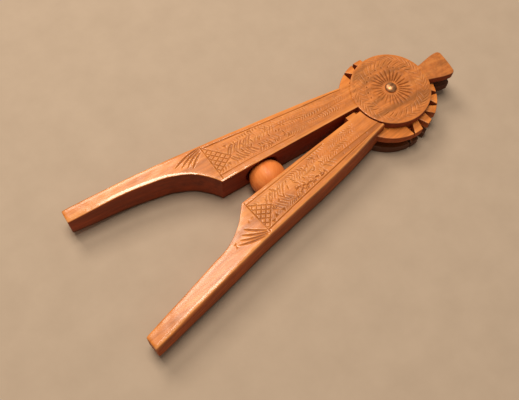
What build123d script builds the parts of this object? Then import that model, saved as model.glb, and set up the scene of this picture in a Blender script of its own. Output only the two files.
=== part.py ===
from build123d import *
import math
import os

# A carved wooden nutcracker of two levers. Each arm is one piece of wood: a bar with a
# hollow for the nut, a scooped grip, and two round hinge plates. The plates of the two
# arms lie in turn on one upright pin, like the leaves of a knuckle hinge. The left arm's
# plates are plain discs with a tail tab, and the right arm's have a pierced, toothed rim.
# The pin's axis is the Z axis, the underside lies on Z = 0, and the grips point to -X.
# Sizes are millimetres.

# ---- hinge stack, numbered from the bottom ----
layer_height = 5.25
layer_clearance = 0.2
layer_count = 4
right_layers = (0, 2)
left_layers = (1, 3)
thickness = layer_count * layer_height

disc_radius = 22.0
disc_side_gap = 1.0
rim_side_gap = 0.6
edge_round = 0.9

# ---- toothed rim of the right arm's plates: a circle a little off the pin ----
rim_radius = 27.1
rim_centre_x = -1.1
rim_centre_y = -0.7
low_tooth_radius = 24.2
low_teeth_first = 7
low_teeth_end = 11
notch_count = 14
notch_pitch = 16.65
notch_arc_shift = 3.0
notch_floor_radius = 21.6
notch_wide = 2.2
notch_narrow = 0.35
open_notches = (1, 2, 5, 8, 11)

# ---- tail tab of the left arm's plates ----
tab_reach = 37.9
tab_neck_half = 4.4
tab_end_half = 8.0
tab_flare_reach = 34.5
tab_corner_radius = 2.6
tab_angle = -7.6

# ---- how the arms stand ----
rest_angle = 8.6
closed_angle = 5.6
face_past_pin = 0.4
arm_length = 181.0
root_length = 12.0

# ---- edges of the left arm: widths are measured out from its inner face ----
left_jaw_length = 106.0
left_root_width = 14.2
left_bar_width = 19.6
left_jaw_width = 24.2
left_grip_width = 27.4
left_end_width = 30.0
left_scoop_slope = 1.7
left_scoop_depths = (8.9, 15.3, 18.3)
left_end_depth = 21.9

# ---- edges of the right arm ----
right_jaw_length = 105.0
right_root_width = 13.9
right_bar_width = 19.2
right_jaw_width = 22.3
right_grip_width = 26.1
right_end_width = 30.0
right_scoop_slope = 0.8
right_scoop_depths = (6.7, 12.8, 15.1)
right_end_depth = 21.6

# ---- scoop between jaw and grip, and the tapered grip ----
scoop_steps = (7.5, 19.0, 32.0)
bar_middle = 58.0
grip_middle_from_end = 39.0
taper_past_jaw = 7.0
end_thickness = 14.0
cut_overrun = 1.0

# ---- nut ball, and the hollows that hold it ----
ball_radius = 9.7
ball_reach = 82.3
hollow_radius = 10.4
hollow_height = 10.1

# ---- stop shoulder on the right arm's inner face ----
stop_near = 26.0
stop_far = 31.7
stop_clearance = 0.2

# ---- hinge pin and the washer that its lower end is riveted over ----
pin_radius = 2.0
pin_running_clearance = 0.05
head_radius = 3.2
head_height = 1.8
rivet_radius = 3.0
washer_radius = 4.6
washer_thickness = 1.0
washer_side_gap = 0.4
washer_play = 0.1
recess_depth = 2.4

rim_reach = rim_radius + math.hypot(rim_centre_x, rim_centre_y)
half_rest = math.radians(rest_angle / 2)
half_closed = math.radians(closed_angle / 2)
end_taper = (thickness - end_thickness) / 2
washer_top = recess_depth - washer_play
washer_bottom = washer_top - washer_thickness
LEFT = 1
RIGHT = -1


def on_arm(side, along, outward):
    """Plan point at a distance along an arm's inner face, and out from that face."""
    out = outward - face_past_pin
    x = -along * math.cos(half_rest) + out * math.sin(half_rest)
    y = along * math.sin(half_rest) + out * math.cos(half_rest)
    return (x, side * y)


def arm_direction(side):
    """The way that an arm points from the pin, along its inner face."""
    return Vector(-math.cos(half_rest), side * math.sin(half_rest), 0)


def layer_bottom(layer):
    """Underside of a hinge plate, with half of the clearance to the plate below."""
    return layer * layer_height + (layer_clearance / 2 if layer > 0 else 0)


def layer_top(layer):
    """Upper side of a hinge plate, with half of the clearance to the plate above."""
    is_top = layer == layer_count - 1
    return (layer + 1) * layer_height - (0 if is_top else layer_clearance / 2)


def arm_outline(side, jaw_length, widths, scoop_slope, scoop_depths, end_depth):
    """Plan outline of an arm: bar, jaw and grip, without the hinge plates."""
    grip_middle = arm_length - grip_middle_from_end
    outer_reaches = (root_length, bar_middle, jaw_length, grip_middle, arm_length)
    outer_edge = [on_arm(side, u, w) for u, w in zip(outer_reaches, widths)]
    scoop = [on_arm(side, jaw_length + s, d) for s, d in zip(scoop_steps, scoop_depths)]
    corner = on_arm(side, jaw_length, 0)
    grip_end = on_arm(side, arm_length, end_depth)
    grip_run = Vector(*grip_end) - Vector(*scoop[-1])
    with BuildSketch(Plane.XY) as outline:
        with BuildLine():
            Line(on_arm(side, root_length, 0), corner)
            Spline([corner] + scoop, tangents=[scoop_start(side, scoop_slope), grip_run.normalized()])
            Line(scoop[-1], grip_end)
            Line(grip_end, outer_edge[-1])
            Spline(outer_edge)
            Line(outer_edge[0], on_arm(side, root_length, 0))
        make_face()
    return outline.sketch


def scoop_start(side, scoop_slope):
    """The way that the scoop leaves the jaw's corner: out from the inner face at its slope."""
    along = arm_direction(side)
    out = along.rotate(Axis.Z, -side * 90)
    return (along + out * scoop_slope).normalized()


def grip_waste(side, jaw_length):
    """Upright outline of what two long gentle arcs take off above and below the grip."""
    taper_start = jaw_length + taper_past_jaw
    upright = Plane(
        origin=(0, 0, 0),
        x_dir=arm_direction(side),
        z_dir=arm_direction(side).cross(Vector(0, 0, 1)),
    )
    past_end = arm_length + cut_overrun
    with BuildSketch(upright) as waste:
        with BuildLine():
            start = (taper_start, thickness)
            finish = (arm_length, thickness - end_taper)
            TangentArc(start, finish, tangent=(1, 0))
            Polyline(
                finish, (past_end, thickness - end_taper), (past_end, thickness + cut_overrun),
                (taper_start, thickness + cut_overrun), start,
            )
        make_face()
        with BuildLine():
            low_start = (taper_start, 0)
            low_finish = (arm_length, end_taper)
            TangentArc(low_start, low_finish, tangent=(1, 0))
            Polyline(
                low_finish, (past_end, end_taper), (past_end, -cut_overrun),
                (taper_start, -cut_overrun), low_start,
            )
        make_face()
    return waste.sketch


def clear_layer(radius, layer):
    """Round room at the pin for the other arm's hinge plate."""
    with Locations((0, 0, layer * layer_height - layer_clearance / 2)):
        Cylinder(radius, layer_height + layer_clearance, mode=Mode.SUBTRACT,
                 align=(Align.CENTER, Align.CENTER, Align.MIN))


def nut_hollow(side):
    """Round hollow in the inner face. Its centre is the ball's when the arms are closed."""
    along = ball_reach * math.cos(half_closed)
    outward = face_past_pin - ball_reach * math.sin(half_closed)
    with Locations((*on_arm(side, along, outward), hollow_height)):
        Sphere(hollow_radius, mode=Mode.SUBTRACT)


def notch_angle(index):
    """Compass angle of a notch: the notches lie evenly about a point opposite the arm."""
    opposite = -rest_angle / 2 * RIGHT + notch_arc_shift
    return opposite + notch_pitch * (index - (notch_count - 1) / 2)


def notch_outline(is_open):
    """Notch that points along X: open ones widen to the rim, closed ones narrow to a slit."""
    floor_half = notch_narrow if is_open else notch_wide
    rim_half = notch_wide if is_open else notch_narrow
    past_rim = rim_reach + cut_overrun
    slope = (rim_half - floor_half) / (rim_radius - notch_floor_radius)
    past_half = max(notch_narrow, rim_half + slope * (past_rim - rim_radius))
    with BuildSketch(Plane.XY) as notch:
        Polygon(
            (notch_floor_radius, -floor_half),
            (rim_radius, -rim_half),
            (past_rim, -past_half),
            (past_rim, past_half),
            (rim_radius, rim_half),
            (notch_floor_radius, floor_half),
            align=None,
        )
    return notch.sketch


def low_rim_waste():
    """What is off the rim over the low teeth: a wedge past their radius."""
    angles = (low_teeth_first, (low_teeth_first + low_teeth_end) / 2, low_teeth_end)
    far = 2 * rim_reach
    with BuildSketch(Plane.XY) as waste:
        Polygon(
            (0, 0),
            *[(far * cosine(notch_angle(k)), far * sine(notch_angle(k))) for k in angles],
            align=None,
        )
        Circle(low_tooth_radius, mode=Mode.SUBTRACT)
    return waste.sketch


def toothed_outline():
    """Outline of a toothed hinge plate: a plain sector by the arm, teeth round the rest."""
    with BuildSketch(Plane.XY) as plate:
        with Locations((rim_centre_x, rim_centre_y)):
            Circle(rim_radius)
        add(low_rim_waste(), mode=Mode.SUBTRACT)
        for index in range(notch_count):
            with Locations(Location((0, 0, 0), (0, 0, notch_angle(index)))):
                add(notch_outline(index in open_notches), mode=Mode.SUBTRACT)
    return plate.sketch


def tab_outline():
    """Outline of the tail tab: it flares from the pin outwards, and its corners are round."""
    with BuildSketch(Plane.XY) as tab:
        Polygon(
            (0, -tab_neck_half),
            (disc_radius, -tab_neck_half - edge_round),
            (tab_flare_reach, -tab_end_half),
            (tab_reach, -tab_end_half + edge_round),
            (tab_reach, tab_end_half - edge_round),
            (tab_flare_reach, tab_end_half),
            (disc_radius, tab_neck_half + edge_round),
            (0, tab_neck_half),
            align=None,
        )
        fillet(tab.vertices().group_by(Axis.X)[-1], radius=tab_corner_radius)
    return tab.sketch


def level_edges(block):
    """The upper and lower arrises of a bar, all round but for its root at the hinge."""
    return [
        e for e in block.edges()
        if abs(e.tangent_at(0.5).Z) < 0.5 and e.center().X < -root_length
    ]


def cosine(angle):
    return math.cos(math.radians(angle))


def sine(angle):
    return math.sin(math.radians(angle))


# ---- left arm: bar, two plain discs, and a tail tab on each ----
left_widths = (left_root_width, left_bar_width, left_jaw_width, left_grip_width, left_end_width)
with BuildPart() as left_arm:
    extrude(
        arm_outline(
            LEFT, left_jaw_length, left_widths, left_scoop_slope, left_scoop_depths, left_end_depth
        ),
        amount=thickness,
    )
    extrude(grip_waste(LEFT, left_jaw_length), amount=arm_length, both=True, mode=Mode.SUBTRACT)
    fillet(level_edges(left_arm), radius=edge_round)
    for layer in right_layers:
        clear_layer(rim_reach + rim_side_gap, layer)
    for layer in left_layers:
        with BuildSketch(Plane.XY.offset(layer_bottom(layer))):
            Circle(disc_radius)
            with Locations(Location((0, 0, 0), (0, 0, tab_angle))):
                add(tab_outline())
        extrude(amount=layer_top(layer) - layer_bottom(layer))
    Hole(pin_radius)
    nut_hollow(LEFT)
left_arm.part.label = "left_arm"

# ---- right arm: bar, two toothed plates, and the stop shoulder ----
right_widths = (right_root_width, right_bar_width, right_jaw_width, right_grip_width, right_end_width)
# The shoulder's face lies along the left arm's inner face when the arms are closed.
stop_heights = [
    u * math.tan(math.radians(closed_angle)) - face_past_pin
    - (face_past_pin + stop_clearance) / math.cos(math.radians(closed_angle))
    for u in (stop_near, stop_far)
]
with BuildPart() as right_arm:
    extrude(
        arm_outline(
            RIGHT, right_jaw_length, right_widths, right_scoop_slope, right_scoop_depths,
            right_end_depth,
        ),
        amount=thickness,
    )
    extrude(grip_waste(RIGHT, right_jaw_length), amount=arm_length, both=True, mode=Mode.SUBTRACT)
    fillet(level_edges(right_arm), radius=edge_round)
    with BuildSketch(Plane.XY):
        Polygon(
            on_arm(RIGHT, stop_near, right_root_width / 2),
            on_arm(RIGHT, stop_near, -stop_heights[0]),
            on_arm(RIGHT, stop_far, -stop_heights[1]),
            on_arm(RIGHT, stop_far, right_root_width / 2),
            align=None,
        )
    extrude(amount=thickness)
    for layer in left_layers:
        clear_layer(disc_radius + disc_side_gap, layer)
    for layer in right_layers:
        with BuildSketch(Plane.XY.offset(layer_bottom(layer))):
            add(toothed_outline())
        extrude(amount=layer_top(layer) - layer_bottom(layer))
    Hole(pin_radius + pin_running_clearance)
    with BuildSketch(Plane.XY):
        Circle(washer_radius + washer_side_gap)
    extrude(amount=recess_depth, mode=Mode.SUBTRACT)
    nut_hollow(RIGHT)
right_arm.part.label = "right_arm"

# ---- hinge pin: domed head above, shank, and a riveted end that is flush below ----
with BuildPart() as hinge_pin:
    with BuildSketch(Plane.XZ):
        with BuildLine():
            Polyline(
                (0, thickness + head_height), (0, 0), (rivet_radius, 0), (rivet_radius, washer_bottom),
                (pin_radius, washer_bottom), (pin_radius, thickness), (head_radius, thickness),
            )
            RadiusArc(
                (head_radius, thickness), (0, thickness + head_height),
                -(head_radius**2 + head_height**2) / (2 * head_height),
            )
        make_face()
    revolve(axis=Axis.Z)
hinge_pin.part.label = "hinge_pin"

# ---- washer under the riveted end, let into the underside ----
with BuildPart() as pin_washer:
    with BuildSketch(Plane.XY.offset(washer_bottom)):
        Circle(washer_radius)
        Circle(pin_radius, mode=Mode.SUBTRACT)
    extrude(amount=washer_thickness)
pin_washer.part.label = "pin_washer"

# ---- loose wooden ball between the jaws, as large as a hazelnut ----
with BuildPart() as nut_ball:
    with Locations((-ball_reach, 0, ball_radius)):
        Sphere(ball_radius)
nut_ball.part.label = "nut_ball"

os.makedirs("parts", exist_ok=True)
for piece in (left_arm, right_arm, hinge_pin, pin_washer, nut_ball):
    export_step(piece.part, f"parts/{piece.part.label}.step")
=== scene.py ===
"""A carved wooden nutcracker: two levers on an interleaved disc hinge, with a ball in the jaws.

Every new piece is a surface worked out with numpy in millimetres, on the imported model's
frame: the hinge pin is the Z axis, the underside lies on Z = 0, the grips point to -X.
"""
import math

import bmesh
import bpy
import numpy as np
from mathutils import Matrix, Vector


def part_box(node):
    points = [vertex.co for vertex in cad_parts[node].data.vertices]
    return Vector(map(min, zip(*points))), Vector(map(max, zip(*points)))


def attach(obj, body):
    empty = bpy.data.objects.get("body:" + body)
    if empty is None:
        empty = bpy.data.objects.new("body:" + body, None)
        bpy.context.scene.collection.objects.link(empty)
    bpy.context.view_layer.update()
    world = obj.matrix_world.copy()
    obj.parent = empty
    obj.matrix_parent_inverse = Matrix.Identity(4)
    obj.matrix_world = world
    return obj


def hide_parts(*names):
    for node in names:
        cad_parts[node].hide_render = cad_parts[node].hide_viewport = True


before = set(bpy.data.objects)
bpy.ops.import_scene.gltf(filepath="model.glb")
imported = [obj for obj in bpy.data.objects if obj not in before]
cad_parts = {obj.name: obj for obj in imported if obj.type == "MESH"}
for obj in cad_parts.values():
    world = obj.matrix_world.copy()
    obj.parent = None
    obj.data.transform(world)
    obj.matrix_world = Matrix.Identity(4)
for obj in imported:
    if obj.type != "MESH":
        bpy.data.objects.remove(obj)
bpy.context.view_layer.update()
MM = 0.001


def corners(node):
    """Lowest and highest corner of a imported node, in millimetres."""
    return [np.array(corner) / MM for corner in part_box(node)]


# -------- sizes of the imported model, in millimetres and degrees
LEFT = 1
RIGHT = -1
pin_high = corners("hinge_pin")[1]
washer_low = corners("pin_washer")[0]
ball_low, ball_high = corners("nut_ball")
thickness = corners("left_arm")[1][2]
layer_height = thickness / 4
half_clearance = 0.1
disc_radius = 22.0
disc_side_gap = 1.0
disc_step = 0.22
left_bar_start = 21.7
tab_turn = -7.6
tab_step = 0.3
rim_radius = 27.1
rim_centre = np.array((-1.1, -0.7))
rim_side_gap = 0.6
low_tooth_radius = 24.2
low_teeth = (7, 8, 9, 10)
notch_count = 14
notch_pitch = 16.65
half_rest_degrees = 4.3
notch_arc_shift = 3.0
notch_first = half_rest_degrees + notch_arc_shift - notch_pitch * (notch_count - 1) / 2
notch_floor = 21.6
notch_wide = 2.2
notch_narrow = 0.35
open_notches = (1, 2, 5, 8, 11)
ball_radius = (ball_high[2] - ball_low[2]) / 2
ball_reach = -(ball_high[0] + ball_low[0]) / 2
half_rest = math.radians(half_rest_degrees)
half_closed = math.radians(2.8)
face_past_pin = 0.4
arm_length = 181.0
end_taper = 3.5
taper_past_jaw = 7.0
hollow_radius = 10.4
hollow_height = 10.1
stop_near, stop_far = 26.0, 31.7
shoulder_set_back = 1.05
recess_radius, recess_depth = 5.0, 2.4
pin_hole = 2.1

# -------- paint: each point has a depth of cut (its deepest values are painted shade), wear (also painted highlight), how much it is a side (painted darker as shade), and patina
full_painted_shade = 1.6  # a cut this deep is painted as full near-black shade, at the foot of the walls and on the lower tab and lower toothed plate
# end faces: a side share of 0.8, which paints them with the painted wall shade, and a little cut
end_face_paint = (0.1, 0.0, 0.8, 0.0)


def smooth(value, low, high):
    """A soft step: 0 below low, 1 above high, and a cubic ease between them."""
    t = np.clip((value - low) / (high - low), 0.0, 1.0)
    return t * t * (3.0 - 2.0 * t)


def through(reach, reaches, widths, first_slope=None):
    """Smooth curve through points: cubic between neighbours, with mean slopes at the points."""
    reaches = np.asarray(reaches, float)
    widths = np.asarray(widths, float)
    slopes = np.gradient(widths, reaches)
    if first_slope is not None:
        slopes[0] = first_slope
    k = np.clip(np.searchsorted(reaches, reach) - 1, 0, len(reaches) - 2)
    run = reaches[k + 1] - reaches[k]
    t = np.clip((reach - reaches[k]) / run, 0.0, 1.0)
    start = (1 + 2 * t) * (1 - t) ** 2 * widths[k] + t * (1 - t) ** 2 * run * slopes[k]
    finish = t * t * (3 - 2 * t) * widths[k + 1] - t * t * (1 - t) * run * slopes[k + 1]
    return start + finish


class Arm:
    """One arm: its inner and outer edges, as widths out from the inner face line, and its wear,
    which is painted pale also as highlight.

    facet is how far the polished facet of the grip's inner arris reaches across and down; the
    pair after it is how worn the inner and the outer arris are, and the wear is painted pale also
    as highlight; and patina is how brown the field has become.
    """

    def __init__(self, side, jaw, outer_widths, scoop_slope, scoop_depths, facet, wear_and_highlight, patina):
        self.side = side
        self.jaw = jaw
        self.outer_reaches = (12.0, 58.0, jaw, 142.0, arm_length)
        self.outer_widths = outer_widths
        self.scoop_reaches = (jaw, jaw + 7.5, jaw + 19.0, jaw + 32.0, arm_length)
        self.scoop_widths = (0.0, *scoop_depths)
        self.scoop_slope = scoop_slope
        self.facet = facet
        self.wear_and_highlight = wear_and_highlight
        self.patina = patina

    def outer(self, reach):
        return through(reach, self.outer_reaches, self.outer_widths)

    def inner(self, reach):
        """The jaw's line, then the scoop; the right arm has a small stop shoulder near the hinge."""
        scoop = through(reach, self.scoop_reaches, self.scoop_widths, self.scoop_slope)
        edge = np.where(reach > self.jaw, scoop, 0.0)
        if self.side == RIGHT:
            shoulder = reach * math.tan(2 * half_closed) - shoulder_set_back
            edge = np.where((reach > stop_near) & (reach < stop_far), -shoulder, edge)
        return edge

    def taper(self, reach):
        """Drop of the grip's faces: one long arc that starts past the jaw."""
        run = arm_length - self.jaw - taper_past_jaw
        arc_radius = (run**2 + end_taper**2) / (2 * end_taper)
        past = np.clip(reach - self.jaw - taper_past_jaw, 0.0, None)
        return arc_radius - np.sqrt(arc_radius**2 - past**2)

    def place(self, reach, width, height):
        """Points at a distance along the arm and out from its inner face, with their heights."""
        out = width - face_past_pin
        x = -reach * math.cos(half_rest) + out * math.sin(half_rest)
        y = self.side * (reach * math.sin(half_rest) + out * math.cos(half_rest))
        return np.stack(np.broadcast_arrays(x, y, height), axis=-1)


left = Arm(
    LEFT, jaw=106.0, outer_widths=(14.2, 19.6, 24.2, 27.4, 30.0), scoop_slope=1.7,
    scoop_depths=(8.9, 15.3, 18.3, 21.9), facet=(1.9, 0.8), wear_and_highlight=(1.0, 0.4), patina=0.62,
)
right = Arm(
    RIGHT, jaw=105.0, outer_widths=(13.9, 19.2, 22.3, 26.1, 30.0), scoop_slope=0.8,
    scoop_depths=(6.7, 12.8, 15.1, 21.6), facet=(0.9, 0.7), wear_and_highlight=(0.25, 1.0), patina=0.42,
)


# -------- carving, as depths of cut
def tent(off, half):
    """Profile of a V-shaped cut: 1 on its line, and evenly less to 0 at half its width."""
    return np.clip(1 - off / half, 0.0, None)


def line_cut(u, w, points, width, depth):
    """V-shaped groove along a run of straight lines: depth falls evenly with the distance."""
    nearest = np.full(np.shape(u), np.inf)
    for (u0, w0), (u1, w1) in zip(points[:-1], points[1:]):
        length = math.hypot(u1 - u0, w1 - w0)
        t = np.clip(((u - u0) * (u1 - u0) + (w - w0) * (w1 - w0)) / length**2, 0.0, 1.0)
        nearest = np.minimum(nearest, np.hypot(u - u0 - t * (u1 - u0), w - w0 - t * (w1 - w0)))
    return depth * tent(nearest, width / 2)


def gouge_cut(u, w, start, finish, bow, width, depth):
    """Lens-shaped cut along a bowed line: V-shaped across, and shallow at both ends."""
    du, dw = finish[0] - start[0], finish[1] - start[1]
    length = math.hypot(du, dw)
    along = ((u - start[0]) * du + (w - start[1]) * dw) / length**2
    off = ((w - start[1]) * du - (u - start[0]) * dw) / length
    belly = np.clip(4 * along * (1 - along), 0.0, None)
    half = np.maximum(width / 2 * np.sqrt(belly), 1e-6)
    return depth * np.sqrt(belly) * np.clip(1 - np.abs((off - bow * belly) / half) ** 1.4, 0.0, None)


def gouges(u, w, cuts, width, depth):
    """The deepest of many lens-shaped cuts, each given as start, finish and bow."""
    deepest = np.zeros(np.shape(u))
    for start, finish, bow in cuts:
        deepest = np.maximum(deepest, gouge_cut(u, w, start, finish, bow, width, depth))
    return deepest


def chips(u, w, places, size, depth, turn=30.0):
    """Three-sided chips: small pyramids, as deep as the least distance to their three edges."""
    deepest = np.zeros(np.shape(u))
    for k, (u0, w0) in enumerate(places):
        edge = np.full(np.shape(u), np.inf)
        for corner in range(3):
            a = math.radians(turn + 60 * (k % 2) + 120 * corner)
            edge = np.minimum(edge, size / 2 - (u - u0) * math.cos(a) - (w - w0) * math.sin(a))
        deepest = np.maximum(deepest, depth * np.clip(edge / (size / 2), 0.0, 1.0))
    return deepest


def wheat_ear(first, count, step, axis, rise, lean):
    """Cuts of an ear of wheat: two rows that slant in to an axis, each a little off its place."""
    cuts = []
    for k in range(count):
        foot = first + k * step + 0.25 * math.sin(2.3 * k)
        for way in (1, -1):
            tip = (foot, axis + way * rise * (1 + 0.06 * math.sin(1.7 * k + way)))
            cuts.append((tip, (foot + lean, axis + way * 0.5), way * 0.4))
    return cuts


def lattice(u, w, corner, upper, lower, step, width, depth):
    """Crossing grooves parallel to the two sides of a three-cornered cell, kept inside it."""
    cut = np.zeros(np.shape(u))
    inside = np.ones(np.shape(u))
    for (du, dw), sign in ((upper, 1), (lower, -1)):
        length = math.hypot(du, dw)
        across = sign * ((u - corner[0]) * dw - (w - corner[1]) * du) / length
        off = np.abs(across - step * np.round(across / step))
        cut = np.maximum(cut, depth * tent(off, width / 2))
        inside = inside * (across > -width / 2)
    return cut * inside


def scattered(seed, box, count=44, length=2.5, lean=62):
    """Worn small cuts strewn over a box of the field, in two crossing slants."""
    random = np.random.RandomState(seed)
    cuts = []
    for k in range(count):
        u0 = box[0] + (box[1] - box[0]) * (k + random.rand()) / count
        w0 = box[2] + (box[3] - box[2]) * random.rand()
        a = math.radians(lean * (1 if random.rand() < 0.6 else -1) + 24 * (random.rand() - 0.5))
        run = length * (0.6 + 0.8 * random.rand())
        finish = (u0 + run * math.cos(a), w0 + run * math.sin(a))
        cuts.append(((u0, w0), finish, 0.5 * (random.rand() - 0.5)))
    return cuts


def nick_rows(u, w, axes, first, last, pitch, lean, reach, width, depth):
    """Rows of slanting nicks along the arm, which lean the other way in each second row.

    They differ in place, length and depth by sines of their number, as hand-cut ones do, and
    slow waves along the arm wear stretches of a row away.
    """
    deepest = np.zeros(np.shape(u))
    for row, axis in enumerate(axes):
        wander = axis + 0.45 * np.sin(0.21 * u + 1.9 * row)
        leaning = u - (lean if row % 2 else -lean) * (w - wander) - 0.3 * np.sin(2.3 * w + 1.7 * row)
        number = np.round(leaning / pitch)
        chance = np.sin(12.9 * number + 5.0 * row)
        off = np.abs(leaning - pitch * (number + 0.2 * chance))
        belly = np.clip(1 - ((w - wander - 0.35 * np.sin(7.7 * number)) / reach) ** 2, 0.0, None)
        waves = np.sin(0.37 * u + 2.1 * row) + 0.8 * np.sin(0.83 * u - 1.3 * row)
        within = smooth(u, first, first + 4) * (1 - smooth(u, last - 2, last))
        within = within * smooth(waves, -1.8, 0.0)
        nicks = (0.6 + 0.4 * chance) * belly * tent(off, width / 2)
        deepest = np.maximum(deepest, depth * nicks * within)
    return deepest


def tool_marks(x, y):
    """Gentle unevenness of a hand-worked face: a few long and short waves, 0 to 1."""
    waves = np.sin(0.19 * x + 0.6 * np.sin(0.31 * y)) + np.sin(0.43 * y + 0.11 * x + 1.3)
    waves = waves + 0.6 * np.sin(0.83 * x - 0.57 * y + 0.4) + 0.5 * np.sin(0.61 * x + 1.21 * y)
    return 0.5 + waves / 6.2


def deepest_of(cuts):
    return np.maximum.reduce(np.broadcast_arrays(*cuts))


def inside_of(u, w, border, inner_line):
    """1 in the field between its two border lines, and 0 within half a millimetre of them."""
    outer_edge = np.interp(u, *zip(*border)) - w
    inner_edge = w - np.interp(u, *zip(*inner_line))
    return np.clip((np.minimum(outer_edge, inner_edge) - 0.5) / 0.4, 0.0, 1.0)


def jaw_fan(u, w, cuts):
    """Four bold gouges that spread from the jaw's outer corner on to the grip."""
    return gouges(u, w, cuts, width=1.35, depth=0.6)


def left_carving(u, w):
    """Carving on the left arm's upper face: border, wheat ear, lattice cell and jaw fan."""
    border = ((24, 13.9), (45, 15.4), (65, 17.2), (85, 19.4), (105.5, 21.4))
    inner_line = ((60, 3.1), (76, 3.4), (90, 3.7), (105, 3.4))
    field = deepest_of((
        gouges(u, w, wheat_ear(79.6, 8, 1.75, 10.4, 5.3, 3.9), 1.25, 0.40),
        gouges(u, w, wheat_ear(66.2, 7, 1.8, 9.8, 4.0, 2.6), 0.95, 0.22),
        lattice(u, w, (94.6, 10.4), (10.0, 10.2), (10.0, -5.6), step=2.35, width=0.8, depth=0.40)
        * (u < 105.2) * (w < 20.6) * (w > 4.6),
        chips(
            u, w,
            ((91.6, 6.6), (97.2, 6.9), (91.2, 15.6), (94.6, 16.6), (72.6, 5.4), (77.2, 5.9)),
            1.6, 0.5,
        ),
        nick_rows(u, w, (5.0, 16.8), 70, 104, 1.7, 0.7, 1.3, 1.1, 0.42),
        nick_rows(u, w, (4.4, 6.7, 9.0, 11.3), 24, 66, 1.5, 0.9, 1.2, 1.05, 0.40),
        nick_rows(u, w, (13.2, 15.2, 17.2), 44, 84, 1.6, 0.9, 1.1, 1.05, 0.36),
        gouges(u, w, scattered(5, box=(60, 95, 4.2, 17.0)), 0.9, 0.42),
        gouges(u, w, (((24, 7.9), (47, 6.4), 0.4), ((46, 11.2), (80, 13.2), 0.5)), 0.8, 0.2),
    ))
    return deepest_of((
        field * inside_of(u, w, border, inner_line),
        line_cut(u, w, border, 0.9, 0.42),
        line_cut(u, w, inner_line, 0.7, 0.25),
        line_cut(u, w, ((105.8, 22.6), (105.2, 12), (104.6, 0.5)), 0.8, 0.4),
        jaw_fan(
            u, w,
            (((105.9, 22.6), (122.8, 18.4), 0.9), ((105.9, 22.0), (119.8, 16.8), 0.8),
             ((106.0, 21.3), (117.2, 15.3), 0.7), ((106.3, 20.2), (114.8, 13.8), 0.5)),
        ),
    ))


def right_carving(u, w):
    """Carving on the right arm's upper face: border, channel, wheat ear, cell and jaw fan."""
    channel = 0.3 * smooth(w, 10.7, 11.4) * (1 - smooth(w, 13.2, 14.0)) * (1 - smooth(u, 46, 66))
    border = ((30, 13.4), (58, 15.6), (80, 17.2), (104, 19.3))
    inner_line = ((52, 1.6), (80, 2.1), (104, 2.4))
    field = deepest_of((
        gouges(u, w, wheat_ear(81.6, 7, 1.75, 9.9, 5.4, 3.9), 1.2, 0.3),
        gouges(
            u, w,
            (((79.4, 12.2), (76.4, 12.0), 0.3), ((77.8, 14.2), (75.6, 13.0), -0.3),
             ((76.0, 12.8), (73.4, 13.2), 0.3), ((74.2, 13.6), (71.6, 13.2), -0.3),
             ((72.4, 13.4), (69.6, 14.2), 0.3), ((70.6, 14.8), (67.6, 14.0), -0.2),
             ((68.0, 13.2), (65.2, 14.2), 0.3), ((65.0, 14.6), (61.8, 13.9), -0.2)),
            1.3, 0.6,
        ),
        gouges(u, w, wheat_ear(67.0, 6, 1.8, 9.2, 3.8, 2.4), 0.95, 0.2),
        lattice(u, w, (94.5, 10.0), (8.7, 9.0), (9.5, -6.8), step=2.35, width=0.85, depth=0.42)
        * (u < 104.3) * (w < 18.6) * (w > 3.2),
        chips(
            u, w,
            ((91.2, 16.0), (96.0, 16.2), (98.9, 17.6), (73.8, 15.0), (77.8, 14.8), (61.3, 13.6),
             (47.0, 12.6), (42.6, 12.1), (29.6, 11.6), (78.8, 11.9), (76.7, 12.3), (68.6, 14.6),
             (63.7, 13.8), (81.3, 15.9)),
            1.7, 0.55,
        ),
        nick_rows(u, w, (4.4, 15.4), 66, 103, 1.7, 0.7, 1.2, 1.1, 0.42),
        nick_rows(u, w, (3.2, 5.4, 7.6, 9.8), 31, 66, 1.5, 0.9, 1.15, 1.05, 0.38),
        nick_rows(u, w, (11.6, 13.6), 52, 82, 1.6, 0.9, 1.05, 1.05, 0.36),
        gouges(u, w, scattered(11, box=(58, 95, 4.0, 16.0)), 0.9, 0.42),
        gouges(
            u, w,
            (((56.2, 14.8), (60.2, 10.6), -0.5), ((52.2, 13.8), (55.6, 10.2), -0.4),
             ((53.9, 14.2), (57.6, 10.4), -0.4)),
            1.0, 0.42,
        ),
        gouges(u, w, (((62.0, 6.2), (72.5, 8.4), 1.6), ((64.0, 4.0), (78.0, 6.4), 1.8)), 1.4, 0.2),
    ))
    return deepest_of((
        channel,
        field * inside_of(u, w, border, inner_line),
        line_cut(u, w, border, 0.9, 0.42),
        line_cut(u, w, inner_line, 0.8, 0.34),
        line_cut(u, w, ((104.4, 0.3), (104.2, 20.4)), 0.8, 0.45),
        jaw_fan(
            u, w,
            (((104.6, 21.0), (120.6, 16.0), 0.9), ((104.5, 20.5), (118.4, 14.6), 0.8),
             ((104.5, 19.9), (116.2, 12.9), 0.7), ((104.6, 19.0), (113.4, 11.2), 0.5)),
        ),
        chips(u, w, ((121.6, 14.8), (121.9, 16.6), (106.2, 9.4), (108.6, 9.9)), 1.2, 0.3),
    ))


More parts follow.
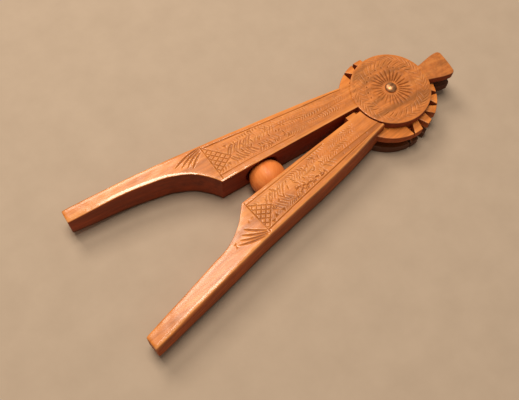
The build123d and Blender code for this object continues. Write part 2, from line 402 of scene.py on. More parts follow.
def disc_carving(r, angle):
    """Carving on the top disc: a rosette of thin flutes, stray dots, and faint leafy bands.

    Each row repeats round the pin; its cuts differ in length and depth by sines of their
    number, and slow waves of the angle wear the outer rows away.
    """
    def beside(count, slant=0.0):
        phase = (angle + slant) * count / (2 * math.pi)
        number = np.round(phase)
        shifted = phase - number + 0.12 * np.sin(5.1 * number)
        return np.abs(shifted) * 2 * math.pi / count * r, np.sin(12.9 * number)

    def band(middle, half):
        return np.clip(1 - ((r - middle) / half) ** 2, 0, None)

    fading = 0.7 + 0.3 * np.sin(3 * angle + 0.6) * np.sin(7 * angle)
    near, chance = beside(27)
    tip = 11.2 + 0.9 * chance
    belly = np.clip((r - 4.0) / 1.2, 0, 1) * np.clip((tip - r) / 1.6, 0, 1)
    flutes = (0.46 + 0.14 * chance) * belly * tent(near, 0.038 * r + 0.28)
    near, chance = beside(25)
    upper = smooth(np.cos(angle - 2.3) + 0.5 * chance, -0.3, 0.5)
    dots = 0.6 * upper * tent(np.hypot(near, r - 13.0 - 0.5 * chance), 0.65)
    near, chance = beside(36, 0.05 * (r - 16.6))
    leaves = (0.48 + 0.14 * chance) * fading * band(16.4, 2.2) * tent(near, 0.5)
    near, chance = beside(48, -0.07 * (r - 19.4))
    fringe = (0.42 + 0.14 * chance) * fading * band(19.4, 1.5) * tent(near, 0.45)
    ring = 0.14 * fading * tent(np.abs(r - 14.2), 0.4)
    return deepest_of((flutes, dots, leaves, fringe, ring))


# -------- meshes from point arrays
def finish_and_painted_light_marks(grid, cut=0.0, worn=0.0, wall=0.0, patina=0.0):
    """Paint of each point: depth of cut, whose deepest values are painted shade; wear of an
    arris, painted pale also as highlight; how much a side, painted darker as shade; and old patina.
    """
    parts = np.broadcast_arrays(grid[..., 0], cut, worn, wall, patina)
    return np.stack(parts[1:], axis=-1)


def in_scene(name, data):
    """A new object of the scene, with a mesh, a lamp or a camera as its data."""
    made = bpy.data.objects.new(name, data)
    bpy.context.scene.collection.objects.link(made)
    return made


def build(name, shells, sharp=38.0):
    """One mesh from closed shells. Each is a grid of rows of points, closed across each row."""
    points, marks, faces = [], [], []
    base = 0
    for grid, paint in shells:
        rows, across = grid.shape[:2]
        index = base + np.arange(rows * across).reshape(rows, across)
        beside = np.roll(index, -1, axis=1)
        faces.append(np.stack([index[:-1], beside[:-1], beside[1:], index[1:]], -1).reshape(-1, 4))
        points.append(grid.reshape(-1, 3))
        marks.append(paint.reshape(-1, 4))
        base += rows * across
    points = np.concatenate(points) * MM
    faces = np.concatenate(faces)
    mesh = bpy.data.meshes.new(name)
    mesh.vertices.add(len(points))
    mesh.vertices.foreach_set("co", points.ravel())
    mesh.loops.add(faces.size)
    mesh.loops.foreach_set("vertex_index", faces.ravel())
    mesh.polygons.add(len(faces))
    mesh.polygons.foreach_set("loop_start", np.arange(0, faces.size, 4))
    mesh.update(calc_edges=True)
    # the finish attribute also carries the masks of painted shade and painted highlight
    paint = mesh.attributes.new("finish", "FLOAT_COLOR", "POINT")
    paint.data.foreach_set("color", np.concatenate(marks).ravel())
    tidy = bmesh.new()
    tidy.from_mesh(mesh)
    bmesh.ops.remove_doubles(tidy, verts=tidy.verts, dist=1e-7)
    bmesh.ops.dissolve_degenerate(tidy, edges=tidy.edges, dist=1e-8)
    bmesh.ops.recalc_face_normals(tidy, faces=tidy.faces)
    tidy.to_mesh(mesh)
    tidy.free()
    mesh.shade_smooth()
    mesh.set_sharp_from_angle(angle=math.radians(sharp))
    return in_scene(name, mesh)


def capped(grid, paint):
    """Closes both ends of a shell: each end row is drawn in to the middle of its box, in a step
    close to the edge and then all the way, so that the end face lies flat and has one paint."""
    ends = []
    for row in (grid[:1], grid[-1:]):
        middle = (row.min(axis=1) + row.max(axis=1))[:, None] / 2
        ends.append([middle + (row - middle) * share for share in (0.0, 0.95)])
    end_paint = np.broadcast_to(end_face_paint, paint[:1].shape)
    grid = np.concatenate(ends[0] + [grid] + ends[1][::-1])
    paint = np.concatenate([end_paint, end_paint, paint, end_paint, end_paint])
    return grid, paint


def slab(outline, low, high, worn, waves=0.0, patina=0.0):
    """Plate on a closed outline: a wall, two rounded arrises, and faces drawn in to the middle."""
    middle = outline.mean(axis=0)
    edge = np.roll(outline, -1, axis=0) - np.roll(outline, 1, axis=0)
    out = np.stack([edge[:, 1], -edge[:, 0]], axis=1)
    out /= np.linalg.norm(out, axis=1, keepdims=True)
    turns = np.radians((0, 22.5, 45, 67.5, 90))
    rows = []
    for turn in turns:
        ring = outline - out * worn * (1 - math.cos(turn))
        rows.insert(0, (ring, low + worn * (1 - math.sin(turn)), turn))
        rows.append((ring, high - worn * (1 - math.sin(turn)), turn))
    for shrink in (0.66, 0.33, 0.0):
        flat = middle + (outline - out * worn - middle) * shrink
        rows.insert(0, (flat, low, math.pi / 2))
        rows.append((flat, high, math.pi / 2))
    heights = np.array([height for _, height, _ in rows])[:, None]
    turned_up = np.array([turn for _, _, turn in rows])[:, None]
    plan = np.stack([ring for ring, _, _ in rows])
    fall = waves * tool_marks(plan[..., 0] * 3, plan[..., 1] * 3) * (heights > (low + high) / 2)
    height = np.broadcast_to(heights, plan.shape[:2]) - fall
    grid = np.concatenate([plan, height[..., None]], axis=2)
    return grid, finish_and_painted_light_marks(grid, worn=np.sin(2 * turned_up), wall=np.cos(turned_up), patina=patina)


def turned(profile, count):
    """A profile of (radius, height) points, turned about the Z axis."""
    profile = np.asarray(profile, float)
    angle = np.linspace(0, 2 * math.pi, count, endpoint=False)
    x = profile[:, :1] * np.cos(angle)
    y = profile[:, :1] * np.sin(angle)
    z = np.broadcast_to(profile[:, 1:2], x.shape)
    return np.stack([x, y, z], axis=-1)


# -------- the two bars
def bar_loop(shaved_in, shaved_down, foot, inner_in, inner_down):
    """The loop round a bar: for each point its share of the way across, share of the height,
    wear, which paints the arrises pale also as highlight, and how much it faces sideways, which
    paints the sides darker as shade; then its pull in from the edge and drop from there.

    Both upper arrises begin with a narrow, nearly flat facet that hands have polished. The outer
    one then falls in a tall curve, the inner one in a tight curve; the lower arrises are round.
    """
    inner_foot = 0.8
    outer_in = np.array((0.95, 0.47, 0.38, 0.29, 0.20, 0.12, 0.06, 0.02, 0.0))
    outer_down = np.array((0.003, 0.034, 0.055, 0.11, 0.22, 0.38, 0.57, 0.79, 1.0))
    # the worn rows paint the facets pale, as wear and as a painted highlight line; the wall rows paint
    # the sides darker as shade
    outer_wear_and_highlight = np.array((0.5, 1.0, 1.0, 0.6, 0.35, 0.2, 0.1, 0.0, 0.0))
    outer_wall = np.array((0.0, 0.0, 0.08, 0.25, 0.5, 0.7, 0.85, 0.95, 1.0))
    inner_across = np.array((0.0, 0.03, 0.10, 0.20, 0.27, 0.90))
    inner_fall = np.array((1.0, 0.76, 0.55, 0.39, 0.33, 0.02))
    inner_wear_and_highlight = np.array((0.0, 0.1, 0.5, 1.0, 1.0, 1.0))
    inner_wall = np.array((1.0, 0.8, 0.5, 0.2, 0.05, 0.0))
    quarter = np.radians(np.linspace(0, 90, 8))
    arc, low_arc = quarter[1:], quarter[:-1]
    across = np.linspace(0, 1, 98)
    back = np.linspace(1, 0, 14)
    fall = np.linspace(0, 1, 8)[1:-1]
    climb = np.linspace(0, 1, 24)[1:-1]
    parts = (
        (across, 1.0, 0.0, 0.0, inner_in - (shaved_in + inner_in) * across, 0.0),
        (1.0, 1.0, outer_wear_and_highlight, outer_wall, -shaved_in * outer_in, shaved_down * outer_down),
        (1.0, 1 - fall, 0.0, 1.0, 0.0, shaved_down * (1 - fall) - foot * fall),
        (1.0, 0.0, np.sin(2 * low_arc), np.cos(low_arc),
         -foot * (1 - np.cos(low_arc)), -foot * (1 - np.sin(low_arc))),
        (back, 0.0, 0.0, 0.0, inner_foot - (foot + inner_foot) * back, 0.0),
        (0.0, 0.0, np.sin(2 * arc), np.sin(arc),
         inner_foot * (1 - np.sin(arc)), -inner_foot * (1 - np.cos(arc))),
        (0.0, climb, 0.0, 1.0, 0.0, inner_down * climb - inner_foot * (1 - climb)),
        (0.0, 1.0, inner_wear_and_highlight, inner_wall, inner_in * inner_across, inner_down * inner_fall),
    )
    columns = [np.stack(np.broadcast_arrays(*part)) for part in parts]
    return np.concatenate(columns, axis=1), len(across)


def wear_and_highlight(cut):
    """Pale rims of the cuts, painted as wear and as highlight on the crests: the mean cut of the
    neighbours, less the cut itself.
    """
    mean = cut
    for axis in (0, 1):
        padded = np.pad(mean, [(2, 2) if k == axis else (0, 0) for k in range(2)], mode="edge")
        steps = [np.roll(padded, k, axis=axis) for k in range(-2, 3)]
        mean = (sum(steps) / 5)[2:-2] if axis == 0 else (sum(steps) / 5)[:, 2:-2]
    return np.clip((mean - cut) * 9.0, 0.0, 0.9)


def bar_shell(arm, carving):
    """The bar: a rounded oblong section carried from the hinge to the grip's end.

    Its upper face is carved, its inner face has the round hollow for the nut, and near the
    pin its stations are arcs about the pin.
    """
    (share, top, worn, wall, bar_pull, bar_drop), face_points = bar_loop(1.6, 4.2, 1.3, 1.0, 0.5)
    (_, _, _, _, grip_pull, grip_drop), _ = bar_loop(2.6, 3.4, 1.6, *arm.facet)
    # each arm's pair scales the wear of its inner and outer arris, which is painted pale also as
    # highlight
    worn = worn * np.where(share < 0.5, *arm.wear_and_highlight)
    on_face = np.arange(len(share)) < face_points

    def reach_of(station, width):
        """Along the arm: arcs about the pin near the hinge, straight across further out."""
        arc = np.sqrt(station**2 - (width - face_past_pin) ** 2)
        straight = smooth(station, 30.0, 46.0)
        return (1 - straight) * arc + straight * station

    def section(station, base_height, shrink=0.0):
        """The loop at each station, with its paint; shrink draws it in to its middle."""
        station = np.asarray(station, float)[:, None]
        grip = smooth(station, arm.jaw + 4, arm.jaw + 34)
        pull = bar_pull + (grip_pull - bar_pull) * grip
        drop = bar_drop + (grip_drop - bar_drop) * grip
        outer = arm.outer(station)
        for _ in range(3):
            outer = arm.outer(reach_of(station, outer))
        outer = outer - 0.2 * tool_marks(station * 1.3, 7.0)
        inner = arm.inner(station) + 0.12 * tool_marks(station * 1.1, 3.0) * smooth(station, 24, 30)
        width = inner + share * (outer - inner) + pull
        middle_width = (inner + outer) / 2
        width = middle_width + (width - middle_width) * (1 - shrink)
        reach = reach_of(station, width)
        taper = arm.taper(reach)
        high = thickness - taper
        low = base_height if base_height > 0 else taper
        height = low + top * (high - low) - drop
        cut = np.zeros(height.shape)
        cut[:, on_face] = carving(reach[:, on_face], width[:, on_face])
        unevenness = 0.16 * tool_marks(reach, width) * (1 - wall) * (top == 1.0)
        step_down = disc_step * np.clip(1 - (station - disc_radius) / 0.8, 0.0, 1.0) * on_face
        height = height - cut - unevenness - step_down * (arm.side == LEFT)
        away = ball_reach * math.cos(half_closed)
        front = face_past_pin - ball_reach * math.sin(half_closed)
        room = hollow_radius**2 - (reach - away) ** 2 - (height - hollow_height) ** 2
        hollow = front + np.sqrt(np.clip(room, 0.0, None))
        width = np.where((room > 0) & (share < 0.5), np.maximum(width, hollow), width)
        middle_height = (high + low) / 2
        height = middle_height + (height - middle_height) * (1 - shrink)
        grid = arm.place(reach, width, height)
        border = 13.2 + 0.06 * reach
        field = arm.patina * (1 - smooth(reach, arm.jaw - 3, arm.jaw + 10)) * on_face
        field = field * smooth(width, 1.6, 3.4) * (1 - smooth(width, border, border + 1.2))
        # painted highlight: a pale strip along the inner edge of the upper face; the rims of the cuts
        # are pale as wear and as painted highlight
        highlight_strip_and_rims = 0.35 * on_face * (1 - smooth(width - inner, 1.6, 3.2))
        highlight_strip_and_rims[:, on_face] += wear_and_highlight(cut[:, on_face]) if len(cut) > 5 else 0.0
        # painted shade: near the floor the walls are painted near-black, by adding to their depth of
        # cut
        cut_and_foot_shade = cut + full_painted_shade * (1 - smooth(height - low, 0.9, 3.0)) * (wall > 0)
        return grid, finish_and_painted_light_marks(grid, cut=cut_and_foot_shade, worn=np.maximum(worn, highlight_strip_and_rims), wall=wall, patina=field)

    start = left_bar_start if arm.side == LEFT else disc_radius + disc_side_gap
    carved_end = arm.jaw + 19.0
    station_step, end_round = 0.24, 0.9
    edges = (arm.jaw, arm.jaw + 0.01)
    if arm.side == RIGHT:
        edges += (stop_near, stop_near + 0.01, stop_far - 0.01, stop_far)
    close = np.unique(np.concatenate([np.arange(start, carved_end, station_step), edges]))
    stations = np.concatenate([close, np.linspace(carved_end, arm_length - end_round, 52)])
    turns = np.radians((22.5, 45, 67.5, 85))
    ends = arm_length - end_round + end_round * np.sin(turns)
    parts = [section([e], 0.0, 0.1 * (1 - math.cos(t))) for e, t in zip(ends, turns)]
    if arm.side == LEFT:
        # over the toothed plate below it, the bar is only as deep as the top disc
        step = rim_radius + float(np.hypot(*rim_centre)) + rim_side_gap
        thin = section(np.append(stations[stations < step], step), 3 * layer_height + half_clearance)
        thick = section(np.append(step, stations[stations > step]), 0.0)
        parts = [thin, thick] + parts
    else:
        parts = [section(stations, 0.0)] + parts
    return capped(np.concatenate([p[0] for p in parts]), np.concatenate([p[1] for p in parts]))


# -------- hinge plates
def disc_shell():
    """Top disc: a polar grid that is carved above, with a worn rim, and open at the pin.

    The rim's rounding dies out where the disc runs on into the left arm's bar. Towards the tail
    the face is a little darker from handling.
    """
    angle = np.linspace(0, 2 * math.pi, 480, endpoint=False)[None]
    bar_way, fades_from, fades_to = (math.radians(degrees) for degrees in (154, 24, 18))
    bar_side = smooth(np.cos(angle - bar_way), math.cos(fades_from), math.cos(fades_to))
    worn = 0.5 - 0.42 * bar_side
    low = 3 * layer_height + half_clearance
    rings = np.linspace(0.0, 1.0, 91)[:, None]
    turns = np.radians((18, 36, 54, 72, 90))[:, None]
    flat = 0 * rings[:, 0]
    edge = disc_radius + 0 * angle
    radius = np.concatenate([
        pin_hole + (edge - worn - pin_hole) * rings, edge - worn + worn * np.sin(turns),
        edge, edge, edge - 0.4, 0 * edge + pin_hole, 0 * edge + pin_hole,
    ])
    height = np.concatenate([
        thickness + 0 * rings * edge, thickness - worn * (1 - np.cos(turns)),
        0 * edge + low + 2.5, 0 * edge + low + 0.4, 0 * edge + low, 0 * edge + low,
        0 * edge + thickness,
    ])
    turns = turns[:, 0]
    wall = np.concatenate([flat, np.sin(turns) ** 2, [1, 1, 0.5], [0, 0]])[:, None]
    wear = np.concatenate([flat, np.sin(2 * turns), [0, 0.6, 0.6], [0, 0]])[:, None]
    face = (np.arange(len(radius)) < len(rings))[:, None]
    cut = disc_carving(radius, angle) * face
    x, y = radius * np.cos(angle), radius * np.sin(angle)
    height = height - cut - 0.14 * tool_marks(x * 1.4, y * 1.4) * (wall < 0.9) * (height > low + 1)
    height[-1] = height[0]
    grid = np.stack([x, y, height], axis=-1)
    patina = (1 - 0.5 * smooth(radius, 20.4, 21.4)) * face
    # the rims of the flutes are painted pale, as wear and as highlight
    worn = np.maximum(wear, wear_and_highlight(cut))
    handled = 0.1 * smooth(x, 0.0, 18.0) * face
    return grid, finish_and_painted_light_marks(grid, cut=cut + handled, worn=worn, wall=wall, patina=patina)


def plain_disc(radius, low, high, worn=0.4, recess=None):
    """Round plate with a hole for the pin, as one closed turned profile; a recess is below."""
    bottom = ((pin_hole, low),)
    if recess:
        bottom = ((pin_hole, recess[1]), (recess[0], recess[1]), (recess[0], low))
    profile = bottom + (
        (radius - worn, low), (radius - 0.3 * worn, low + 0.3 * worn), (radius, low + worn),
        (radius, high - worn), (radius - 0.3 * worn, high - 0.3 * worn), (radius - worn, high),
        (pin_hole, high), bottom[0],
    )
    grid = turned(profile, 240)
    wall = np.array([0.0] * len(bottom) + [0, 0.5, 1, 1, 0.5, 0, 0, 0])[:, None]
    return grid, finish_and_painted_light_marks(grid, wall=wall, worn=(wall == 0.5) * 1.0)


def tab_shell(low, high, darkening_and_shade=0.0):
    """Tail tab: it flares from the disc, and its end is a little full with rounded corners."""
    turn = math.radians(tab_turn)
    root, corner_start, corner_radius, half_width = 15.0, 35.2, 2.4, 7.95
    along = np.linspace(root, corner_start, 22)
    side = through(along, (root, 21.0, 27.0, 31.0, 34.0), (4.6, 5.1, 6.5, 7.5, 7.9))
    corner = np.radians(np.linspace(0, 90, 7))[1:]
    corner_x = corner_start + corner_radius * np.sin(corner)
    corner_y = half_width - corner_radius * (1 - np.cos(corner))
    edge_y = np.linspace(corner_y[-1], -corner_y[-1], 12)[1:-1]
    edge_x = corner_start + corner_radius + 0.22 * (1 - (edge_y / corner_y[-1]) ** 2)
    x = np.concatenate([along, corner_x, edge_x, corner_x[::-1], along[::-1]])
    y = np.concatenate([side, corner_y, edge_y, -corner_y[::-1], -side[::-1]])
    c, s = math.cos(turn), math.sin(turn)
    plan = np.stack([x * c - y * s, x * s + y * c], axis=1)
    grid, paint = slab(plan[::-1], low, high, worn=0.6, waves=0.12, patina=1.0)
    # the added amount darkens the tab through the cut channel: a small amount a little, the full amount
    # near-black as painted shade
    paint[..., 0] += darkening_and_shade
    return grid, paint


def neck_shell(arm, low, high, start, finish):
    """Short block that carries a lower plate into its bar."""
    reach = np.array((start, finish, finish, start))
    width = np.array((0.1, 0.1, 0.0, 0.0)) + np.where(np.arange(4) > 1, arm.outer(reach) - 0.4, 0.0)
    plan = arm.place(reach, width, 0.0)[::-arm.side, :2]
    t = np.linspace(0, 1, 9)[:-1, None]
    sides = [plan[k] + (plan[(k + 1) % 4] - plan[k]) * t for k in range(4)]
    return slab(np.concatenate(sides), low, high, worn=0.1)


def notch_half(index, radius):
    """Half width of a notch at a radius: open ones widen to the rim, closed ones narrow to it."""
    share = np.clip((radius - notch_floor) / (rim_radius - notch_floor), 0.0, None)
    inner, rim = (notch_narrow, notch_wide) if index in open_notches else (notch_wide, notch_narrow)
    return np.maximum(inner + (rim - inner) * share, notch_narrow)


def rim_at(angle):
    """Distance from the pin to the toothed plates' rim, which is a circle off the pin."""
    along = rim_centre[0] * np.cos(angle) + rim_centre[1] * np.sin(angle)
    across = rim_centre[0] * np.sin(angle) - rim_centre[1] * np.cos(angle)
    return along + np.sqrt(rim_radius**2 - across**2)


def sector_shell(first, last, from_angle, to_angle, low, high):
    """One tooth, or the plain sector: upright sections carried from notch wall to notch wall.

    A section runs out below, round the rim and back above. Its angle at each radius is a share
    of the way between the two walls there, so the end sections lie on the walls.
    """
    worn = 0.3
    root = notch_floor - 0.7
    middle_radius, section_pitch = 24.0, 2.4
    count = max(8, int((to_angle - from_angle) / section_pitch))
    ease = np.radians((0, 30, 60, 90))
    edge_share = worn / middle_radius / math.radians(to_angle - from_angle)
    lead = edge_share * (1 - np.cos(ease))
    ease_in = worn * (1 - np.sin(ease))
    t = np.concatenate([lead, np.linspace(edge_share, 1 - edge_share, count)[1:-1], 1 - lead[::-1]])
    inset = np.concatenate([ease_in, np.zeros(count - 2), ease_in[::-1]])
    t, inset = t[:, None], inset[:, None]
    out = np.linspace(0, 1, 6)
    turns = np.radians((30, 60, 90))
    below = np.stack([
        np.concatenate([out, np.ones_like(turns)]),
        np.concatenate([out * worn, worn * (1 - np.sin(turns))]),
        np.concatenate([np.zeros_like(out), worn * (1 - np.cos(turns))]),
    ])
    share, pull, rise = np.concatenate([below, below[:, ::-1]], axis=1)
    upper = np.arange(len(share)) >= below.shape[1]
    middle = np.radians(from_angle + (to_angle - from_angle) * t)
    rim = rim_at(middle) - 0.12 - 0.14 * tool_marks(from_angle * 0.7 + middle * 12, 5.0)
    if first in low_teeth:
        rim = np.minimum(rim, low_tooth_radius - 0.1)
    radius = root + share * (rim - root) - pull
    start = math.radians(from_angle) + np.arcsin(notch_half(first, radius) / radius)
    finish = math.radians(to_angle) - np.arcsin(notch_half(last, radius) / radius)
    angle = start + (finish - start) * t
    rise = np.maximum(rise, inset)
    height = np.where(upper, high - rise, low + rise)
    x, y = radius * np.cos(angle), radius * np.sin(angle)
    height = height - 0.12 * tool_marks(x * 1.7, y * 1.7) * upper
    grid = np.stack([x, y, height], axis=-1)
    wear = np.clip(rise / worn * 2, 0, 1) * (1 - (share == 1) * (pull == 0))
    wall = (share == 1) * (1 - pull / worn) + (inset >= worn * 0.99)
    return capped(grid, finish_and_painted_light_marks(grid, worn=wear, wall=np.clip(wall, 0, 1)))


def toothed_shells(layer, darkening_and_shade=0.0):
    """One toothed plate: a hub, the teeth between the notches, and the sector by the arm."""
    low = layer * layer_height + (half_clearance if layer else 0.0)
    high = (layer + 1) * layer_height - half_clearance
    recess = None if layer else (recess_radius, recess_depth)
    shells = [plain_disc(notch_floor, low + 0.03, high - 0.03, worn=0.05, recess=recess)]
    for k in range(notch_count):
        start = notch_first + k * notch_pitch
        finish = start + notch_pitch if k < notch_count - 1 else notch_first + 360
        shells.append(sector_shell(k, (k + 1) % notch_count, start, finish, low, high))
    # the added amount goes into the cut channel; the full amount paints the whole plate near-black as
    # shade
    for _, paint in shells:
        paint[..., 0] += darkening_and_shade
    return shells


# -------- pin and ball
def dome_profile():
    """Pin: a quarter wave from its crown to a small upright rim, its shank, and a riveted end."""
    radius, shank_radius, rivet_radius = pin_high[0], 2.0, 3.0
    head_rim = 0.25
    rise = pin_high[2] - thickness - head_rim
    t = np.linspace(0.0, math.pi / 2, 22)
    dome = np.stack([radius * np.sin(t), thickness + head_rim + rise * np.cos(t) ** 1.15], 1)
    shank = (
        (radius, thickness - 0.1), (shank_radius, thickness - 0.1), (shank_radius, washer_low[2]),
        (rivet_radius, washer_low[2]), (rivet_radius, 0.35), (2.6, 0.02), (0.0, 0.02),
    )
    return np.concatenate([dome, shank])


def ball_shell():
    """Turned ball: a sphere by height and angle, with shallow rings left by the turning tool.

    Its turning axis leans over, as the ball has rolled.
    """
    polar = np.linspace(0, math.pi, 120)
    ripple = 1 - 0.003 * (0.5 + 0.5 * np.sin(polar * 34)) * np.sin(polar)
    profile = np.stack([np.sin(polar), np.cos(polar)], axis=1) * (ball_radius * ripple)[:, None]
    grid = turned(profile, 180)
    lean = math.radians(58)
    x = grid[..., 0] * math.cos(lean) + grid[..., 2] * math.sin(lean)
    z = -grid[..., 0] * math.sin(lean) + grid[..., 2] * math.cos(lean)
    grid = np.stack([x - ball_reach, grid[..., 1], z + ball_radius], axis=-1)
    return grid, finish_and_painted_light_marks(grid)


# -------- shader maths
class Wire:
    """One output of a shader node. Sums, differences and products of it add Math nodes."""

    def __init__(self, paint, socket):
        self.paint = paint
        self.socket = socket

    def maths(self, operation, first, second):
        return self.paint.node("Math", {"operation": operation}, {0: first, 1: second})

    def __add__(self, other):
        return self.maths("ADD", self, other)

    __radd__ = __add__

    def __sub__(self, other):
        return self.maths("SUBTRACT", self, other)

    def __rsub__(self, other):
        return self.maths("SUBTRACT", other, self)

    def __mul__(self, other):
        return self.maths("MULTIPLY", self, other)

    __rmul__ = __mul__


class Paint:
    """A material's node tree, with one method that adds any node."""

    def __init__(self, name):
        self.material = bpy.data.materials.new(name)
        self.material.use_nodes = True
        self.tree = self.material.node_tree
        self.tree.nodes.clear()
        self.spot = self.node("TexCoord", output="Object")

    def node(self, kind, settings=None, values=None, output=0):
        """Adds a ShaderNode of a kind; settings are its properties, and values its inputs."""
        made = self.tree.nodes.new("ShaderNode" + kind)
        for key, value in (settings or {}).items():
            if key == "stops":
                ramp = made.color_ramp
                for k, (place, colour) in enumerate(value):
                    stop = ramp.elements[k] if k < 2 else ramp.elements.new(place)
                    stop.position = place
                    stop.color = (*colour, 1.0)
            else:
                setattr(made, key, value)
        for key, value in (values or {}).items():
            if isinstance(value, Wire):
                self.tree.links.new(value.socket, made.inputs[key])
            else:
                made.inputs[key].default_value = value
        return Wire(self, made.outputs[output])

    def noise(self, vector, scale, detail, roughness=0.55, distortion=0.0):
        return self.node("TexNoise", None, {
            "Vector": vector, "Scale": scale, "Detail": detail, "Roughness": roughness,
            "Distortion": distortion,
        })

    def share(self, value, low, high):
        """Share of the way from low to high, held between 0 and 1."""
        return self.node("MapRange", {"clamp": True}, {0: value, 1: low, 2: high, 3: 0.0, 4: 1.0})

    def mix(self, amount, first, second):
        first, second = (c if isinstance(c, Wire) else (*c, 1.0) for c in (first, second))
        return self.node("Mix", {"data_type": "RGBA"}, {0: amount, 6: first, 7: second}, output=2)

    def surface(self, values):
        shader = self.node("BsdfPrincipled", None, values)
        end = self.tree.nodes.new("ShaderNodeOutputMaterial")
        self.tree.links.new(shader.socket, end.inputs["Surface"])
        return self.material


# linear colours of the wood, for a tone of 0 to 1
arm_tones = ((0.0, (0.47, 0.138, 0.018)), (0.45, (0.66, 0.198, 0.032)), (1.0, (0.79, 0.280, 0.058)))
ball_tones = ((0.0, (0.72, 0.186, 0.036)), (0.5, (0.80, 0.232, 0.052)), (1.0, (0.85, 0.274, 0.070)))
patina_tone = (0.30, 0.085, 0.012)
heart_tone = (0.25, 0.078, 0.010)
# near-black colour of painted shade
painted_shade_tone = (0.05, 0.020, 0.009)
# pale colour of wear and of painted highlight
wear_and_highlight_tone = (0.88, 0.40, 0.14)


def wood(
    name, turn, tones=arm_tones, wall_shade_tone=(0.26, 0.042, 0.008), darkening_and_shade_tone=(0.17, 0.042, 0.008),
    gloss=0.30, shine=0.36, oiled=1.0,
):
    """Oiled hardwood whose grain is turned about Z: long fibres, streaks and slow bands, brown
    patina in the carved field, colour darker with the depth of cut, sides painted darker as shade,
    near-black painted shade where the cut channel runs deepest, and paler arrises that hands
    polish, which are also painted pale as highlight.

    gloss is the roughness of a clean face, shine its specular level, and oiled how strong the
    polish is; patina takes the polish away.
    """
    paint = Paint(name)

    def along_grain(stretch):
        return paint.node(
            "Mapping", {"vector_type": "TEXTURE"},
            {0: paint.spot, "Rotation": (0.0, 0.0, turn), "Scale": (stretch, 1.0, 1.3)},
        )

    fibre = paint.noise(along_grain(14.0), 1500.0, 4.0, 0.6)
    streak = paint.noise(along_grain(16.0), 480.0, 3.0, 0.55)
    band = paint.noise(along_grain(7.0), 150.0, 3.0, 0.5, 0.8)
    heart = paint.noise(along_grain(4.5), 105.0, 3.0, 0.55, 1.4)
    mottle = paint.noise(paint.spot, 420.0, 4.0, 0.65)
    marks = paint.node("Attribute", {"attribute_name": "finish"}, None, output="Color")
    patina = paint.node("Attribute", {"attribute_name": "finish"}, None, output="Alpha")
    # cut also carries painted shade, worn also painted highlight, and side is the share painted darker
    # as shade
    cut, worn, side = (paint.node("SeparateColor", None, {0: marks}, output=k) for k in range(3))
    tone = paint.share(band * 0.5 + streak * 0.5, 0.37, 0.63)
    fine = paint.share(fibre, 0.32, 0.60)
    colour = paint.node("ValToRGB", {"stops": tones}, {0: tone})
    colour = paint.mix((1 - fine) * 0.2, colour, darkening_and_shade_tone)
    colour = paint.mix(patina * (0.16 + paint.share(mottle, 0.44, 0.62) * 0.38), colour, patina_tone)
    browned = patina * paint.share(heart, 0.48, 0.62) * (0.3 + patina * 0.4)
    colour = paint.mix(browned, colour, heart_tone)
    # painted shade: the sides are painted darker and redder, keeping the grain's tone
    darker, lighter = ([level * part for part in wall_shade_tone] for level in (0.72, 1.35))
    shaded = paint.mix(tone, darker, lighter)
    colour = paint.mix(paint.share(side, 0.1, 0.95), colour, shaded)
    # darker with the depth of cut, and near-black painted shade where the cut channel holds the painted
    # shade
    painted_shade = paint.share(cut, 0.9, full_painted_shade)
    colour = paint.mix(paint.share(cut, 0.02, 0.4) * 0.52, colour, darkening_and_shade_tone)
    colour = paint.mix(painted_shade * 0.75, colour, painted_shade_tone)
    # pale arrises and rims of cuts, painted as wear and as highlight
    pale_wear_and_highlight = paint.share(worn, 0.1, 1.0) * (1 - side) * (1 - painted_shade) * (0.2 + mottle * 0.5)
    colour = paint.mix(pale_wear_and_highlight, colour, wear_and_highlight_tone)
    relief = fibre * 0.4 + streak * 0.5 + mottle * (0.3 + patina * 1.8)
    bump = paint.node("Bump", None, {"Strength": 0.5, "Distance": 0.00025, "Height": relief})
    rough = gloss + (1 - fine) * 0.08 + patina * 0.26 + side * 0.4 - worn * 0.2
    clean = (1 - side) * (1 - paint.share(patina, 0.0, 0.55))
    polish = clean * (0.22 + paint.share(worn, 0.1, 1.0) * 0.6) * oiled
    return paint.surface({
        "Base Color": colour, "Roughness": rough, "Normal": bump, "Specular IOR Level": shine,
        "Coat Weight": polish, "Coat Roughness": 0.14,
    })


def old_brass(name):
    """Browned copper-coloured metal, brighter where it is worn, with faint hammer facets."""
    paint = Paint(name)
    cloud = paint.noise(paint.spot, 700.0, 4.0)
    cells = {"Vector": paint.spot, "Scale": 900.0}
    facet = paint.node("TexVoronoi", {"feature": "SMOOTH_F1"}, cells)
    colour = paint.mix(paint.share(cloud, 0.35, 0.7), (0.30, 0.125, 0.050), (0.62, 0.300, 0.135))
    bump = paint.node("Bump", None, {"Strength": 0.25, "Distance": 0.0002, "Height": facet})
    return paint.surface({
        "Base Color": colour, "Metallic": 0.75, "Roughness": 0.28 + cloud * 0.2, "Normal": bump,
    })


def pale_cloth(name):
    """Plain pale floor with a very faint, soft unevenness of tone."""
    paint = Paint(name)
    cloud = paint.noise(paint.spot, 60.0, 3.0)
    colour = paint.mix(paint.share(cloud, 0.3, 0.7), (0.42, 0.320, 0.235), (0.45, 0.345, 0.255))
    return paint.surface({"Base Color": colour, "Roughness": 0.9})


# -------- making the object
left_wood = wood("left_arm_wood", -half_rest)
# the right arm's sides are painted with a lighter shade tone
right_wood = wood("right_arm_wood", half_rest, wall_shade_tone=(0.36, 0.068, 0.009), oiled=0.8)
ball_wood = wood(
    "ball_wood_oiled", turn=1.1, tones=ball_tones, darkening_and_shade_tone=(0.50, 0.09, 0.014),
    gloss=0.42, shine=0.28, oiled=0.15,
)
metal = old_brass("browned_pin_metal")


def dress(piece, body, material, node):
    """A finished piece rides on its body, replaces its node and takes its material."""
    piece.data.materials.append(material)
    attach(piece, body)
    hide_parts(node)


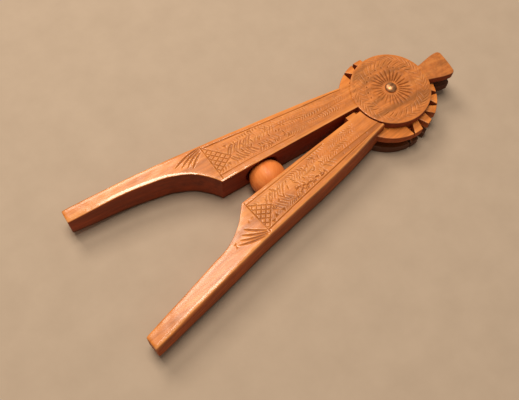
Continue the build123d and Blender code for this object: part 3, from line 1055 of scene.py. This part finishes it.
upper_low = 3 * layer_height + half_clearance
lower_low = layer_height + half_clearance
lower_high = 2 * layer_height - half_clearance
wooden_pieces = (
    ("left_bar", "left_arm", left_wood, [bar_shell(left, left_carving)]),
    ("left_upper_plate", "left_arm", left_wood, [
        disc_shell(), tab_shell(upper_low, thickness - tab_step, darkening_and_shade=0.17),
    ]),
    ("left_lower_plate", "left_arm", left_wood, [
        plain_disc(disc_radius, lower_low, lower_high),
        # the lower tab is painted near-black as shade
        tab_shell(lower_low, lower_high - 0.05, darkening_and_shade=full_painted_shade),
        neck_shell(left, lower_low + 0.05, lower_high - 0.05, start=17.0, finish=31.0),
    ]),
    ("right_bar", "right_arm", right_wood, [bar_shell(right, right_carving)]),
    ("right_upper_teeth", "right_arm", right_wood, toothed_shells(2)),
    # the lower toothed plate is painted near-black as shade
    ("right_lower_teeth", "right_arm", right_wood, toothed_shells(0, darkening_and_shade=full_painted_shade)),
)
for name, arm_name, material, shells in wooden_pieces:
    dress(build(name, shells), arm_name, material, arm_name)

pin_grid = turned(dome_profile(), 96)
domed_pin = build("domed_pin", [(pin_grid, finish_and_painted_light_marks(pin_grid))])
dress(domed_pin, "left_arm", metal, "hinge_pin")
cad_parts["pin_washer"].material_slots[0].material = metal
dress(build("turned_ball", [ball_shell()]), "nut_ball", ball_wood, "nut_ball")

# -------- floor, light and camera
floor_mesh = bpy.data.meshes.new("floor")
floor_height = -0.0002
floor_reach = 2.0
floor_corners = [
    (x * floor_reach, y * floor_reach, floor_height) for x, y in ((-1, -1), (1, -1), (1, 1), (-1, 1))
]
floor_mesh.from_pydata(floor_corners, [], [(0, 1, 2, 3)])
floor = in_scene("floor", floor_mesh)
floor.data.materials.append(pale_cloth("pale_floor"))


def backward(azimuth, elevation):
    """Way from the object to a camera or lamp: azimuth 0 looks along +Y, and 90 stands on +X."""
    a, e = math.radians(azimuth), math.radians(elevation)
    return np.array((math.sin(a) * math.cos(e), -math.cos(a) * math.cos(e), math.sin(e)))


def look_from(thing, place, back, roll=0.0):
    """Sets a camera or lamp at a place, with its back along a direction, rolled about it."""
    right_way = np.cross((0.0, 0.0, 1.0), back)
    right_way /= np.linalg.norm(right_way)
    up_way = np.cross(back, right_way)
    turned_right = math.cos(roll) * right_way + math.sin(roll) * up_way
    turned_up = -math.sin(roll) * right_way + math.cos(roll) * up_way
    columns = [(*axis, 0.0) for axis in (turned_right, turned_up, back)] + [(*place, 1.0)]
    thing.matrix_world = Matrix(columns).transposed()


lamp_colour = (1.0, 0.905, 0.775)
lamp_distance = 1.0
lit_place = np.array((-0.08, 0.0, 0.01))


def soft_lamp(name, azimuth, elevation, size, power):
    """Square lamp that looks at the middle of the nutcracker from a compass angle and height."""
    lamp = bpy.data.lights.new(name, "AREA")
    lamp.shape = "SQUARE"
    lamp.size = size
    lamp.energy = power
    lamp.color = lamp_colour
    back = backward(azimuth, elevation)
    look_from(in_scene(name, lamp), lit_place + back * lamp_distance, back)


soft_lamp("ceiling_light", azimuth=172.0, elevation=82.0, size=0.40, power=7.0)
soft_lamp("back_window", azimuth=182.0, elevation=52.0, size=0.36, power=4.8)

room_colour = (1.0, 0.90, 0.79, 1.0)
room_strength = 0.24
world = bpy.data.worlds.new("soft_room")
bpy.context.scene.world = world
world.use_nodes = True
background = world.node_tree.nodes["Background"]
background.inputs["Color"].default_value = room_colour
background.inputs["Strength"].default_value = room_strength

# the camera that the photo was taken from, as fitted to the hinge circle, the arms and the ball
focal_pixels = 684.6
image_width = 519
camera_place = np.array((-188.2, -116.1, 329.5)) * MM
camera_azimuth, camera_elevation, camera_roll = -41.13, 65.75, math.radians(4.68)
camera_data = bpy.data.cameras.new("photo_camera")
camera_data.sensor_width = 36.0
camera_data.lens = focal_pixels / image_width * camera_data.sensor_width
camera_data.clip_start = 0.01
camera = in_scene("photo_camera", camera_data)
look_from(camera, camera_place, backward(camera_azimuth, camera_elevation), camera_roll)
bpy.context.scene.camera = camera
bpy.context.scene.view_settings.view_transform = "Standard"
